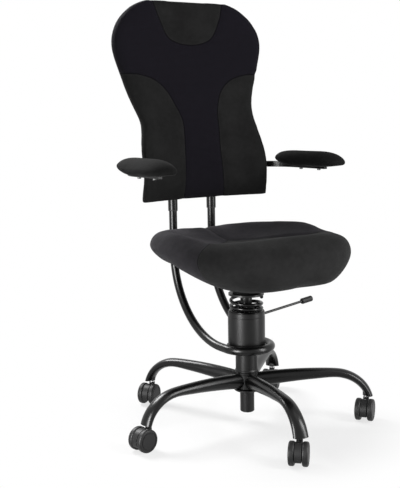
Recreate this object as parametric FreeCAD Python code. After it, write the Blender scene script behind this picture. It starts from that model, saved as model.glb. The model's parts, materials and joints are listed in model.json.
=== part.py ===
import FreeCAD, Part
import math
import os

V = FreeCAD.Vector

# Balance chair. Millimetres, +Z up, the sitter faces -Y and has +X to the left.
# The origin is on the floor, under the middle of the column.

# Clearances
SHAFT_GAP = 0.05
SEAT_GAP = 0.02
SOFT_GAP = 0.6
CONTACT_GAP = 0.3

# Casters
CASTER_COUNT = 5
WHEEL_DIAMETER = 55.0
WHEEL_WIDTH = 14.0
WHEEL_SHOULDER = 4.5
WHEEL_GROOVE_RADIUS = 20.0
WHEEL_GROOVE_WIDTH = 2.0
WHEEL_GROOVE_DEPTH = 1.0
WHEEL_FACE = 1.3
AXLE_DIAMETER = 8.0
HOOD_WIDTH = 15.0
HOOD_WHEEL_GAP = 0.8
HOOD_INSET = 1.5
HOOD_BOTTOM = 14.0
CASTER_TRAIL = 18.0
STEM_DIAMETER = 11.0
STEM_DEPTH = 16.0
STEM_BOSS_DIAMETER = 15.0
STEM_COLLAR_DIAMETER = 14.4
STEM_COLLAR_HEIGHT = 3.4
LEG_END_GAP = 5.0
CASTER_HEADINGS = (222.0, 212.0, 191.0, 225.0, 217.0)

# Five-legged base
BASE_TURN = 40.9
STEM_CIRCLE_RADIUS = 300.0
LEG_ROOT_Z = 104.0
LEG_CREST_Z = 120.0
LEG_CREST_RADIUS = 215.0
LEG_BEND_TURN = 75.0
LEG_ROOT_HEIGHT = 38.0
LEG_CREST_HEIGHT = 23.0
LEG_TIP_HEIGHT = 19.0
LEG_TAPER_POWER = 1.5
LEG_ROOT_WIDTH = 30.0
LEG_TIP_WIDTH = 37.0
LEG_TIP_OFFSET = 6.0
LEG_TIP_SPARE = 12.0
LEG_ARCH_SECTIONS = 7
LEG_BEND_SECTIONS = 5
SOCKET_DIAMETER = 17.5
SOCKET_DEPTH = 17.0
HUB_BOTTOM_Z = 82.0
HUB_HEIGHT = 50.0
HUB_DIAMETER = 54.0
HUB_LIP_DIAMETER = 59.0
HUB_LIP_HEIGHT = 6.0
HUB_FLANGE_DIAMETER = 66.0
HUB_FLANGE_HEIGHT = 7.0
HUB_FLOOR = 4.0
HUB_CHAMFER = 2.0

# Column
COLUMN_DIAMETER = 46.0
COLUMN_WALL = 3.0
STUB_DIAMETER = 35.6
STUB_WALL = 2.1
STUB_LENGTH = 55.0
COLUMN_FLOOR = 5.0
SLEEVE_DIAMETER = 56.0
SLEEVE_HEIGHT = 54.8
SLEEVE_CAP = 2.7
BUSH_LENGTH = 84.0
BEARING_HEIGHT = 5.0
BEARING_DIAMETER = 26.0
CLIP_HEIGHT = 2.2
CLIP_DIAMETER = 16.0

# Gas spring
CYLINDER_DIAMETER = 28.0
CYLINDER_WALL = 1.5
CYLINDER_LENGTH = 206.0
CYLINDER_HEAD = 20.0
ROD_DIAMETER = 10.0
ROD_COLLAR_DIAMETER = 18.0
ROD_COLLAR_HEIGHT = 2.6
PISTON_HEIGHT = 10.0
PISTON_HEADROOM = 27.0
CYLINDER_LIFT_GAP = 5.0
BUTTON_DIAMETER = 8.0
BUTTON_DEPTH = 8.0
BUTTON_HOLE_DEPTH = 13.0

# Cradle plate and spring housing
CRADLE_GAP = 5.0
CRADLE_THICKNESS = 6.0
CRADLE_BOSS_DIAMETER = 40.0
CRADLE_BOSS_HEIGHT = 47.0
HOUSING_DIAMETER = 92.0
HOUSING_WALL = 2.5
HOUSING_HEIGHT = 86.0
HOUSING_ROUNDING = 2.0
HOUSING_BAND = 13.0
HOUSING_BAND_STEP = 0.6
RECESS_DEPTH = 7.0
HOUSING_FLOOR = 3.0

# Release lever
LEVER_DIAMETER = 6.5
LEVER_PIVOT_X = 22.0
LEVER_PIVOT_DROP = 8.8
LEVER_SLOPE = 7.2
LEVER_INNER_REACH = 28.0
LEVER_OUTER_REACH = 187.0
LEVER_TRAVEL = 5.0
LEVER_BARREL_DIAMETER = 12.0
LEVER_BARREL_LENGTH = 14.0
LEVER_PIN_DIAMETER = 6.0
LEVER_EAR_THICKNESS = 4.0
LEVER_EAR_LENGTH = 14.0
LEVER_SLOT_MARGIN = 0.7
GRIP_DIAMETER = 15.0
GRIP_LENGTH = 33.0
GRIP_ROUNDING = 2.0

# Tilting joint under the seat
PIVOT_HEIGHT = 11.0
PIVOT_PIN_DIAMETER = 8.0
CROSS_BLOCK = 21.0
CROSS_HEIGHT = 12.0
YOKE_EAR_GAP = 0.5
YOKE_EAR_THICKNESS = 6.0
YOKE_EAR_RADIUS = 7.0
YOKE_BAR_LENGTH = 56.0
YOKE_BAR_WIDTH = 18.0
YOKE_BAR_THICKNESS = 3.0
POST_DIAMETER = 29.0
POST_HEIGHT = 24.0

# Coil spring
SPRING_RADIUS = 37.75
SPRING_WIRE = 8.5
SPRING_TURNS = 3
SPRING_START_ANGLE = -35.5
SPRING_PITCH = 11.5
SPRING_FIRST_RISE = 3.5
SPRING_OPEN_TURNS = 0.75
SPRING_LUG_LENGTH = 5.0
SPRING_LUG_WIDTH = 6.0

# Back tube
TUBE_DIAMETER = 21.0
TUBE_WALL = 2.0
LOOP_RADIUS = 60.0
LOOP_STRAIGHT = 26.0
TUBE_BEND_RADIUS = 216.0
TUBE_TOP_Z = 640.0

# Seat
SEAT_PLATE_DIAMETER = 88.0
SEAT_PLATE_THICKNESS = 5.0
SEAT_SCREW_CIRCLE = 44.0
SEAT_SCREW_COUNT = 4
SEAT_SCREW_DIAMETER = 6.0
SEAT_SCREW_HEAD = 12.0
SEAT_SCREW_HEAD_DEPTH = 3.0
SEAT_SCREW_LENGTH = 21.0
SHELL_HEIGHT = 75.0
CUSHION_RISE = 59.0
SEAT_HALF_WIDTH = 230.0
SEAT_HALF_DEPTH = 228.0
SEAT_MIDDLE_Y = -15.0
SEAT_SQUARENESS = 2.6
SEAT_BOTTOM_SHARE = 0.6
SEAT_CREST_SHARE = 0.8
SEAT_LOWER_BOW = 0.1
SEAT_UPPER_BOW = 0.17

# Seat shell rings before its top is hollowed out for the cushion: share of its
# height, half width, front edge, rear edge
SHELL_RINGS = (
    (0.0, 32.0, -32.0, 32.0),
    (0.23, 50.0, -60.0, 44.0),
    (0.47, 80.0, -100.0, 64.0),
    (0.73, 116.0, -140.0, 92.0),
    (1.0, 144.0, -165.0, 118.0),
)

# Seat cushion from front to rear: place along the depth, then heights above the
# cushion's level of its underside, its widest rim, its side crests and its middle
SEAT_STATIONS = (
    (-0.985, 6.0, 36.0, 58.0, 60.0),
    (-0.93, -8.0, 42.0, 77.0, 79.0),
    (-0.75, -16.0, 45.0, 90.0, 96.0),
    (-0.45, -17.0, 54.0, 88.0, 79.0),
    (0.0, 2.0, 60.0, 96.0, 65.0),
    (0.45, 14.0, 66.0, 98.0, 62.0),
    (0.75, 10.0, 65.0, 95.0, 79.0),
    (0.93, 18.0, 60.0, 88.0, 86.0),
    (0.985, 38.0, 57.0, 75.0, 76.0),
)

# Backrest from bottom to top: height above the floor, half width, front edge's
# place behind the column, hollow of the front face, cushion thickness
BACK_STATIONS = (
    (549.0, 190.0, 159.0, 29.0, 22.0),
    (600.0, 188.5, 150.0, 33.0, 24.0),
    (655.0, 188.0, 154.0, 33.0, 25.0),
    (710.0, 181.0, 171.0, 20.0, 26.0),
    (755.0, 175.0, 190.0, 9.0, 28.0),
    (805.0, 186.0, 214.0, 4.0, 30.0),
    (855.0, 202.0, 222.0, 8.0, 32.0),
    (905.0, 218.0, 226.0, 13.0, 32.0),
    (945.0, 224.5, 227.0, 15.0, 32.0),
    (985.0, 214.5, 229.0, 13.0, 31.0),
    (1025.0, 181.5, 235.0, 11.0, 29.0),
    (1056.0, 118.0, 243.0, 8.0, 24.0),
)
BACK_EDGE_ROUND = 6.0
BOARD_INSET = 20.0
BOARD_THICKNESS = 9.0
BOARD_BOSS_DIAMETER = 20.0

# Back carrier: two sleeves and two straps
CARRIER_BOTTOM_Z = 520.0
CARRIER_LENGTH = 160.0
CARRIER_DIAMETER = 25.0
CARRIER_WALL = 1.2
CARRIER_CAP = 3.0
GUIDE_LENGTH = 24.0
GUIDE_FLANGE = 3.0
STRAP_WIDTH = 180.0
STRAP_HEIGHT = 30.0
STRAP_THICKNESS = 4.0
STRAP_RISES = (43.0, 135.0)
BACK_SCREW_X = 78.0
SCREW_DIAMETER = 6.0
SCREW_HEAD = 11.0
SCREW_HEAD_HEIGHT = 4.0
SCREW_HEAD_ROUNDING = 1.5
SCREW_SOCKET_SHARE = 0.45
SCREW_SOCKET_DEPTH = 2.5
BACK_SCREW_LENGTH = 16.0

# Armrests
ARM_X = 244.0
ARM_BAR_HEIGHT = 15.5
ARM_BAR_THICKNESS = 10.0
ARM_BAR_BOTTOM_Z = 622.0
ARM_STANDOFF = 3.0
ARM_BAR_END = 9.0
ARM_BAR_BEND = 116.0
ARM_BAR_FRONT_Y = -12.0
ARM_BOSS_APART = 1.5
ARM_SCREW_LENGTH = 24.0
PAD_MIDDLE_Y = 50.0
PAD_HALF_LENGTH = 114.5
PAD_HALF_WIDTH = 43.0
PAD_TOE_OUT = 4.0
PAD_FOOT_SHARE = 0.7
PAD_RIM_SHARE = 0.42
PAD_LOWER_BOW = 0.2
PAD_BASE_THICKNESS = 2.0
PAD_BASE_SHARE = 0.45
PAD_ROOM = 1.0
PAD_SCREW_DIAMETER = 5.0
PAD_SCREW_HEAD = 9.0
PAD_SCREW_REACH = 36.0

# Arm pad from front to rear: place along the length, share of the width, then
# heights of its underside and top above the pad's base
PAD_STATIONS = (
    (-0.985, 0.3, -6.0, 5.0),
    (-0.93, 0.55, -8.5, 12.0),
    (-0.8, 0.8, -10.5, 20.0),
    (-0.6, 0.94, -12.0, 25.5),
    (-0.2, 1.0, -13.0, 27.7),
    (0.2, 1.0, -13.5, 27.7),
    (0.6, 0.97, -8.5, 27.7),
    (0.82, 0.86, -3.0, 25.8),
    (0.94, 0.66, 1.0, 22.7),
    (0.985, 0.4, 4.0, 19.5),
)

# Heights that follow from the sizes above
leg_end_z = WHEEL_DIAMETER + LEG_END_GAP
hub_top_z = HUB_BOTTOM_Z + HUB_HEIGHT
column_bottom_z = HUB_BOTTOM_Z - STUB_LENGTH
sleeve_top_z = hub_top_z + SLEEVE_HEIGHT
column_top_z = sleeve_top_z - SLEEVE_CAP
bearing_z = column_bottom_z + COLUMN_FLOOR
rod_collar_z = bearing_z + BEARING_HEIGHT
cylinder_z = rod_collar_z + ROD_COLLAR_HEIGHT + CYLINDER_LIFT_GAP
cylinder_top_z = cylinder_z + CYLINDER_LENGTH
cradle_z = sleeve_top_z + CRADLE_GAP
loop_z = cradle_z + CRADLE_THICKNESS / 2
housing_z = cradle_z + CRADLE_THICKNESS
housing_top_z = housing_z + HOUSING_HEIGHT
recess_z = housing_top_z - RECESS_DEPTH
lever_pivot_z = recess_z - HOUSING_FLOOR - LEVER_PIVOT_DROP
pivot_z = recess_z + PIVOT_HEIGHT
post_z = pivot_z + CROSS_HEIGHT
plate_z = post_z + POST_HEIGHT
shell_z = plate_z + SEAT_PLATE_THICKNESS
cushion_z = shell_z + CUSHION_RISE
tube_y = LOOP_STRAIGHT + TUBE_BEND_RADIUS
bend_z = loop_z + TUBE_BEND_RADIUS
strap_heights = [CARRIER_BOTTOM_Z + rise for rise in STRAP_RISES]
arm_bar_top_z = ARM_BAR_BOTTOM_Z + ARM_BAR_HEIGHT
arm_corner_x = ARM_X - ARM_BAR_BEND
arm_outer_screw_x = arm_corner_x - BOARD_BOSS_DIAMETER / 2 - CONTACT_GAP
arm_inner_screw_x = arm_outer_screw_x - BOARD_BOSS_DIAMETER - ARM_BOSS_APART
arm_start_x = arm_inner_screw_x - ARM_BAR_END
pad_z = arm_bar_top_z + PAD_BASE_THICKNESS + CONTACT_GAP

made = {}


def save(name, shape):
    """Keep one piece as a file of its own."""
    shape = shape.removeSplitter()
    if not shape.isValid() or not shape.Solids:
        raise ValueError("bad solid: " + name)
    shape.exportStep("parts/" + name + ".step")
    made[name] = shape


def cylinder(diameter, low, high, x=0.0, y=0.0):
    """Upright cylinder between two heights."""
    return Part.makeCylinder(diameter / 2, high - low, V(x, y, low))


def rod_along(diameter, start, end):
    """Cylinder between two points."""
    way = end - start
    return Part.makeCylinder(diameter / 2, way.Length, start, way)


def block(low, high):
    """Box between two corners."""
    size = high - low
    return Part.makeBox(size.x, size.y, size.z, low)


def outline(start, *steps):
    """Closed wire of lines; a step of two points is an arc through the first."""
    edges = []
    here = start
    for step in steps:
        if isinstance(step, tuple):
            middle, there = step
            edges.append(Part.Arc(here, middle, there).toShape())
        else:
            there = step
            edges.append(Part.LineSegment(here, there).toShape())
        here = there
    if here.distanceToPoint(start) > 1e-6:
        edges.append(Part.LineSegment(here, start).toShape())
    return Part.Wire(edges)


def turned(*points):
    """Solid turned about the Z axis from points of radius and height."""
    corners = [V(radius, 0, height) for radius, height in points]
    return Part.Face(outline(*corners)).revolve(V(0, 0, 0), V(0, 0, 1), 360)


def rounded(solid, radius, chosen):
    """Fillet the edges that a test picks."""
    return solid.makeFillet(radius, [edge for edge in solid.Edges if chosen(edge)])


def oval(middle, first, second):
    """Ellipse from its middle and its two half axes, always started on the first."""
    normal = first.cross(second).normalize()
    stretch = FreeCAD.Matrix(
        first.x, second.x, normal.x, middle.x,
        first.y, second.y, normal.y, middle.y,
        first.z, second.z, normal.z, middle.z,
        0, 0, 0, 1,
    )
    circle = Part.Circle(V(0, 0, 0), V(0, 0, 1), 1.0).toShape()
    return Part.Wire(circle.transformGeometry(stretch))


def bowed(start, end, bow):
    """Middle point of an arc that bows to the right of the way from start to end."""
    way = end - start
    return (start + end) * 0.5 + V(way.z, 0, -way.x) * bow


def leg_angle(index):
    return BASE_TURN + index * 360.0 / CASTER_COUNT


def on_leg(shape, index):
    """Turn a shape from the X axis to the way of a leg."""
    shape = shape.copy()
    shape.rotate(V(0, 0, 0), V(0, 0, 1), leg_angle(index))
    return shape


def leg_section(radius, height_z, slope, height, width):
    """Oval across a leg where its middle line falls away at an angle."""
    up = V(math.sin(slope), 0, math.cos(slope))
    return oval(V(radius, 0, height_z), up * (height / 2), V(0, width / 2, 0))


def leg_shape():
    """One arched leg along X: tall at the hub, then bent down and flat at the caster."""
    turn = math.radians(LEG_BEND_TURN)
    tip_radius = STEM_CIRCLE_RADIUS + LEG_TIP_OFFSET
    reach = (tip_radius - LEG_CREST_RADIUS) / math.sin(turn)
    drop = (LEG_CREST_Z - leg_end_z) / (1 - math.cos(turn))
    rise = LEG_CREST_Z - LEG_ROOT_Z
    wires = []
    for step in range(LEG_ARCH_SECTIONS):
        share = step / LEG_ARCH_SECTIONS
        height = LEG_ROOT_HEIGHT + (LEG_CREST_HEIGHT - LEG_ROOT_HEIGHT) * share ** LEG_TAPER_POWER
        slope = math.atan2(-2 * rise * (1 - share), LEG_CREST_RADIUS)
        middle_z = LEG_CREST_Z - rise * (1 - share) ** 2
        wires.append(leg_section(LEG_CREST_RADIUS * share, middle_z, slope, height, LEG_ROOT_WIDTH))
    for step in range(LEG_BEND_SECTIONS + 1):
        share = step / LEG_BEND_SECTIONS
        angle = turn * share
        height = LEG_CREST_HEIGHT + (LEG_TIP_HEIGHT - LEG_CREST_HEIGHT) * share
        width = LEG_ROOT_WIDTH + (LEG_TIP_WIDTH - LEG_ROOT_WIDTH) * share
        slope = math.atan2(drop * math.sin(angle), reach * math.cos(angle))
        radius = LEG_CREST_RADIUS + reach * math.sin(angle)
        middle_z = LEG_CREST_Z - drop * (1 - math.cos(angle))
        wires.append(leg_section(radius, middle_z, slope, height, width))
    spare_r = radius + LEG_TIP_SPARE * math.cos(slope)
    spare_z = middle_z - LEG_TIP_SPARE * math.sin(slope)
    wires.append(leg_section(spare_r, spare_z, slope, height, width))
    leg = Part.makeLoft(wires, True, False)
    below = block(V(0, -LEG_TIP_WIDTH, 0), V(2 * STEM_CIRCLE_RADIUS, LEG_TIP_WIDTH, leg_end_z))
    leg = leg.cut(below)
    leg = leg.cut(cylinder(HUB_DIAMETER + 2 * SHAFT_GAP, 0, hub_top_z + HUB_HEIGHT))
    hole = SOCKET_DIAMETER + 2 * SEAT_GAP
    return leg.cut(cylinder(hole, 0, leg_end_z + SOCKET_DEPTH, STEM_CIRCLE_RADIUS))


def build_base():
    """Hub, five legs and the sockets that take the caster stems."""
    outer = HUB_DIAMETER / 2
    lip = HUB_LIP_DIAMETER / 2
    flange = HUB_FLANGE_DIAMETER / 2
    bore = COLUMN_DIAMETER / 2 + SHAFT_GAP
    stub = STUB_DIAMETER / 2 + SHAFT_GAP
    lip_z = hub_top_z - HUB_LIP_HEIGHT
    flange_z = HUB_BOTTOM_Z + HUB_FLANGE_HEIGHT
    lip_edge = HUB_LIP_HEIGHT / 4
    hub = turned(
        (stub, HUB_BOTTOM_Z), (flange - HUB_CHAMFER, HUB_BOTTOM_Z), (flange, HUB_BOTTOM_Z + HUB_CHAMFER),
        (flange, flange_z - HUB_CHAMFER), (outer, flange_z), (outer, lip_z - HUB_CHAMFER), (lip, lip_z),
        (lip, hub_top_z - lip_edge), (lip - lip_edge, hub_top_z), (bore, hub_top_z),
        (bore, HUB_BOTTOM_Z + HUB_FLOOR), (stub, HUB_BOTTOM_Z + HUB_FLOOR),
    )
    lip_room = cylinder(HUB_LIP_DIAMETER + 2 * SHAFT_GAP, lip_z - HUB_CHAMFER, hub_top_z + HUB_HEIGHT)
    flange_room = cylinder(HUB_FLANGE_DIAMETER + 2 * SHAFT_GAP, 0, flange_z)
    leg = leg_shape().cut(lip_room).cut(flange_room)
    save("base_hub", hub)
    for index in range(CASTER_COUNT):
        save("base_leg_%d" % (index + 1), on_leg(leg, index))
    socket = cylinder(SOCKET_DIAMETER, leg_end_z, leg_end_z + SOCKET_DEPTH, STEM_CIRCLE_RADIUS)
    hole = STEM_DIAMETER + 2 * SHAFT_GAP
    socket = socket.cut(cylinder(hole, 0, leg_end_z + SOCKET_DEPTH, STEM_CIRCLE_RADIUS))
    save("stem_sockets", Part.makeCompound([on_leg(socket, index) for index in range(CASTER_COUNT)]))


def wheel_shape():
    """One wheel turned about Y, its inner face on the XZ plane."""
    radius = WHEEL_DIAMETER / 2
    bore = AXLE_DIAMETER / 2 + SHAFT_GAP
    bend = WHEEL_SHOULDER * (1 - math.sqrt(0.5))
    inner = WHEEL_GROOVE_RADIUS - WHEEL_GROOVE_WIDTH / 2
    outer = WHEEL_GROOVE_RADIUS + WHEEL_GROOVE_WIDTH / 2
    groove = WHEEL_WIDTH - WHEEL_GROOVE_DEPTH
    face = outline(
        V(bore, 0, 0),
        V(radius - WHEEL_SHOULDER, 0, 0),
        (V(radius - bend, bend, 0), V(radius, WHEEL_SHOULDER, 0)),
        V(radius, WHEEL_WIDTH - WHEEL_SHOULDER, 0),
        (V(radius - bend, WHEEL_WIDTH - bend, 0), V(radius - WHEEL_SHOULDER, WHEEL_WIDTH, 0)),
        V(outer, WHEEL_WIDTH, 0),
        V(outer, groove, 0),
        V(inner, groove, 0),
        V(inner, WHEEL_WIDTH, 0),
        V(0, WHEEL_WIDTH, 0),
        V(0, WHEEL_WIDTH - WHEEL_FACE, 0),
        V(bore, WHEEL_WIDTH - WHEEL_FACE, 0),
    )
    return Part.Face(face).revolve(V(0, 0, 0), V(0, 1, 0), 360)


def build_casters():
    """Five casters: hood, stem and axle, and two wheels each."""
    axle_z = WHEEL_DIAMETER / 2
    side = HOOD_WIDTH / 2 + HOOD_WHEEL_GAP
    axle_reach = side + WHEEL_WIDTH - WHEEL_FACE - CONTACT_GAP
    boss_top = leg_end_z - STEM_COLLAR_HEIGHT - CONTACT_GAP
    hub = V(CASTER_TRAIL, 0, axle_z)
    across = V(0, HOOD_WIDTH / 2, 0)
    hood = rod_along(WHEEL_DIAMETER - 2 * HOOD_INSET, hub - across, hub + across)
    under = block(V(-WHEEL_DIAMETER, -HOOD_WIDTH, 0), V(2 * WHEEL_DIAMETER, HOOD_WIDTH, HOOD_BOTTOM))
    hood = hood.cut(under).fuse(cylinder(STEM_BOSS_DIAMETER, axle_z, boss_top))
    hood = hood.cut(rod_along(AXLE_DIAMETER + 2 * SEAT_GAP, hub - across * 2, hub + across * 2))
    hood = hood.cut(cylinder(STEM_DIAMETER + 2 * SEAT_GAP, axle_z, leg_end_z))
    stem = cylinder(STEM_DIAMETER, axle_z, leg_end_z + STEM_DEPTH)
    stem = stem.fuse(cylinder(STEM_COLLAR_DIAMETER, boss_top, boss_top + STEM_COLLAR_HEIGHT))
    axle = rod_along(AXLE_DIAMETER, hub - V(0, axle_reach, 0), hub + V(0, axle_reach, 0))
    stem = stem.cut(rod_along(AXLE_DIAMETER + 2 * SEAT_GAP, hub - across * 2, hub + across * 2))
    left = wheel_shape()
    right = left.mirror(V(0, 0, 0), V(0, 1, 0))
    left.translate(hub + V(0, side, 0))
    right.translate(hub - V(0, side, 0))
    pieces = {
        "hood": hood,
        "stem_and_axle": Part.makeCompound([stem.removeSplitter(), axle]),
        "wheel_left": left,
        "wheel_right": right,
    }
    for index in range(CASTER_COUNT):
        angle = math.radians(leg_angle(index))
        place = V(math.cos(angle), math.sin(angle), 0) * STEM_CIRCLE_RADIUS
        for name, piece in pieces.items():
            piece = piece.copy()
            piece.rotate(V(0, 0, 0), V(0, 0, 1), CASTER_HEADINGS[index])
            piece.translate(place)
            save("caster_%d_%s" % (index + 1, name), piece)


def build_column():
    """Column tube in the hub, its sleeve, guide bush, bearing and the piston rod."""
    outer = COLUMN_DIAMETER / 2
    inner = outer - COLUMN_WALL
    stub = STUB_DIAMETER / 2
    stub_bore = stub - STUB_WALL
    shoulder = HUB_BOTTOM_Z + HUB_FLOOR + CONTACT_GAP
    rod_hole = ROD_DIAMETER / 2 + CONTACT_GAP
    bush_bottom = column_top_z - BUSH_LENGTH
    tube = turned(
        (rod_hole, column_bottom_z), (stub - 2, column_bottom_z), (stub, column_bottom_z + 2),
        (stub, shoulder), (outer, shoulder), (outer, column_top_z), (inner, column_top_z),
        (inner, bush_bottom), (stub_bore, bush_bottom), (stub_bore, bearing_z), (rod_hole, bearing_z),
    )
    save("column_tube", tube)
    cover = SLEEVE_DIAMETER / 2
    lip = HUB_LIP_DIAMETER / 2
    bore = outer + CONTACT_GAP
    neck = CYLINDER_DIAMETER / 2 + 1.0
    sleeve = turned(
        (bore, hub_top_z), (lip, hub_top_z), (lip, hub_top_z + 2.5), (cover, hub_top_z + 5),
        (cover, sleeve_top_z - 2), (cover - 2, sleeve_top_z), (neck, sleeve_top_z),
        (neck, column_top_z), (bore, column_top_z),
    )
    save("column_sleeve", sleeve)
    bush = cylinder(2 * (inner - SEAT_GAP), bush_bottom, column_top_z)
    save("guide_bush", bush.cut(cylinder(CYLINDER_DIAMETER + 2 * SHAFT_GAP, 0, sleeve_top_z)))
    bearing = cylinder(BEARING_DIAMETER, bearing_z, rod_collar_z)
    save("thrust_bearing", bearing.cut(cylinder(2 * rod_hole, 0, sleeve_top_z)))
    clip_top = column_bottom_z - CONTACT_GAP
    clip = cylinder(CLIP_DIAMETER, clip_top - CLIP_HEIGHT, clip_top)
    save("rod_clip", clip.cut(cylinder(ROD_DIAMETER + 2 * SEAT_GAP, 0, sleeve_top_z)))
    piston_top = cylinder_top_z - CYLINDER_HEAD - PISTON_HEADROOM
    rod = cylinder(ROD_DIAMETER, clip_top - CLIP_HEIGHT - 1.5, piston_top)
    rod = rod.fuse(cylinder(ROD_COLLAR_DIAMETER, rod_collar_z, rod_collar_z + ROD_COLLAR_HEIGHT))
    piston = CYLINDER_DIAMETER - 2 * CYLINDER_WALL - 2 * SHAFT_GAP
    save("piston_rod", rod.fuse(cylinder(piston, piston_top - PISTON_HEIGHT, piston_top)))


def build_gas_cylinder():
    """Gas cylinder that slides up in the guide bush, and the button on its top."""
    bore = CYLINDER_DIAMETER - 2 * CYLINDER_WALL
    body = cylinder(CYLINDER_DIAMETER, cylinder_z, cylinder_top_z)
    body = body.cut(cylinder(bore, cylinder_z + CYLINDER_HEAD, cylinder_top_z - CYLINDER_HEAD))
    body = body.cut(cylinder(ROD_DIAMETER + 2 * SHAFT_GAP, 0, cylinder_z + CYLINDER_HEAD))
    hole_z = cylinder_top_z - BUTTON_HOLE_DEPTH
    body = body.cut(cylinder(BUTTON_DIAMETER + 2 * SHAFT_GAP, hole_z, cylinder_top_z))
    save("gas_cylinder", body)
    save("release_button", cylinder(BUTTON_DIAMETER, cylinder_top_z - BUTTON_DEPTH, button_top_z()))


def lever_point(distance):
    """Point on the lever's middle line, measured outwards from its pin."""
    slope = math.radians(LEVER_SLOPE)
    return V(LEVER_PIVOT_X + distance * math.cos(slope), 0, lever_pivot_z + distance * math.sin(slope))


def button_top_z():
    """Height of the button, just under the lever's rod at the button's far edge."""
    slope = math.radians(LEVER_SLOPE)
    far_edge = LEVER_PIVOT_X + BUTTON_DIAMETER / 2
    under = lever_pivot_z - far_edge * math.tan(slope) - LEVER_DIAMETER / 2 / math.cos(slope)
    return under - CONTACT_GAP - SHAFT_GAP


def build_lever():
    """Release lever on its pin, with a grip on the outer end."""
    half = LEVER_BARREL_LENGTH / 2
    pivot = V(LEVER_PIVOT_X, 0, lever_pivot_z)
    grip_start = LEVER_OUTER_REACH - GRIP_LENGTH
    rod = rod_along(LEVER_DIAMETER, lever_point(-LEVER_INNER_REACH), lever_point(LEVER_OUTER_REACH - 3))
    rod = rod.fuse(rod_along(LEVER_BARREL_DIAMETER, pivot - V(0, half, 0), pivot + V(0, half, 0)))
    hole = LEVER_PIN_DIAMETER + 2 * SHAFT_GAP
    save("lever_rod", rod.cut(rod_along(hole, pivot - V(0, 2 * half, 0), pivot + V(0, 2 * half, 0))))
    grip = rod_along(GRIP_DIAMETER, lever_point(grip_start), lever_point(LEVER_OUTER_REACH))
    grip = rounded(grip, GRIP_ROUNDING, lambda edge: edge.Closed)
    bore = LEVER_DIAMETER + 2 * SEAT_GAP
    save("lever_grip", grip.cut(rod_along(bore, lever_point(0), lever_point(LEVER_OUTER_REACH - 3))))
    reach = half + 1 + LEVER_EAR_THICKNESS
    save("lever_pin", rod_along(LEVER_PIN_DIAMETER, pivot - V(0, reach, 0), pivot + V(0, reach, 0)))


def spring_lug():
    """Stop block on the housing's floor for the lower wire end, on the spring's tangent."""
    start = math.radians(SPRING_START_ANGLE)
    lug = block(
        V(-SPRING_LUG_WIDTH / 2, -SPRING_LUG_LENGTH / 2, recess_z),
        V(SPRING_LUG_WIDTH / 2, SPRING_LUG_LENGTH / 2, recess_z + SPRING_WIRE),
    )
    lug.rotate(V(0, 0, 0), V(0, 0, 1), SPRING_START_ANGLE)
    outwards = V(math.cos(start), math.sin(start), 0)
    back_along = V(-math.sin(start), math.cos(start), 0)
    distance = SPRING_WIRE + CONTACT_GAP + SPRING_LUG_LENGTH / 2
    lug.translate(outwards * SPRING_RADIUS + back_along * distance)
    return lug


def build_housing():
    """Cradle plate that carries the back tube's loop, and the housing above it."""
    loop_inner = LOOP_RADIUS - TUBE_DIAMETER / 2 - 2 * SHAFT_GAP
    cradle = cylinder(2 * loop_inner, cradle_z, housing_z)
    cradle = cradle.fuse(cylinder(CRADLE_BOSS_DIAMETER, housing_z, housing_z + CRADLE_BOSS_HEIGHT))
    near = LEVER_BARREL_LENGTH / 2 + 1
    half = LEVER_EAR_LENGTH / 2
    ear_top = lever_pivot_z + LEVER_BARREL_DIAMETER / 2
    for side in (-1, 1):
        ear = block(
            V(LEVER_PIVOT_X - half, near, housing_z),
            V(LEVER_PIVOT_X + half, near + LEVER_EAR_THICKNESS, ear_top),
        )
        cradle = cradle.fuse(ear if side > 0 else ear.mirror(V(0, 0, 0), V(0, 1, 0)))
    pin = V(LEVER_PIVOT_X, 0, lever_pivot_z)
    cradle = cradle.cut(rod_along(LEVER_PIN_DIAMETER + 2 * SEAT_GAP, pin - V(0, 30, 0), pin + V(0, 30, 0)))
    cradle = cradle.cut(cylinder(CYLINDER_DIAMETER + 2 * SEAT_GAP, cradle_z, housing_top_z))
    save("tube_cradle", cradle)

    outer = HOUSING_DIAMETER / 2
    inner = outer - HOUSING_WALL
    band_z = housing_top_z - HOUSING_BAND
    band = outer - HOUSING_BAND_STEP
    can = turned(
        (inner, housing_z), (outer, housing_z), (outer, band_z), (band, band_z + HOUSING_BAND_STEP),
        (band, housing_top_z - HOUSING_ROUNDING), (band - HOUSING_ROUNDING / 2, housing_top_z),
        (inner, housing_top_z), (inner, recess_z), (0, recess_z), (0, recess_z - HOUSING_FLOOR),
        (inner, recess_z - HOUSING_FLOOR),
    )
    can = can.fuse(spring_lug())
    slope = math.radians(LEVER_SLOPE)
    radius = LEVER_DIAMETER / 2 + LEVER_SLOT_MARGIN
    wall_x = outer - LEVER_PIVOT_X
    low = lever_pivot_z + (wall_x - HOUSING_WALL) * math.tan(slope) - radius / math.cos(slope)
    top = slope + math.radians(LEVER_TRAVEL)
    high = lever_pivot_z + wall_x * math.tan(top) + radius / math.cos(top)
    slot = block(V(inner - HOUSING_WALL, -radius, low), V(outer + 1, radius, high))
    save("spring_housing", can.cut(slot))


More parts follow.
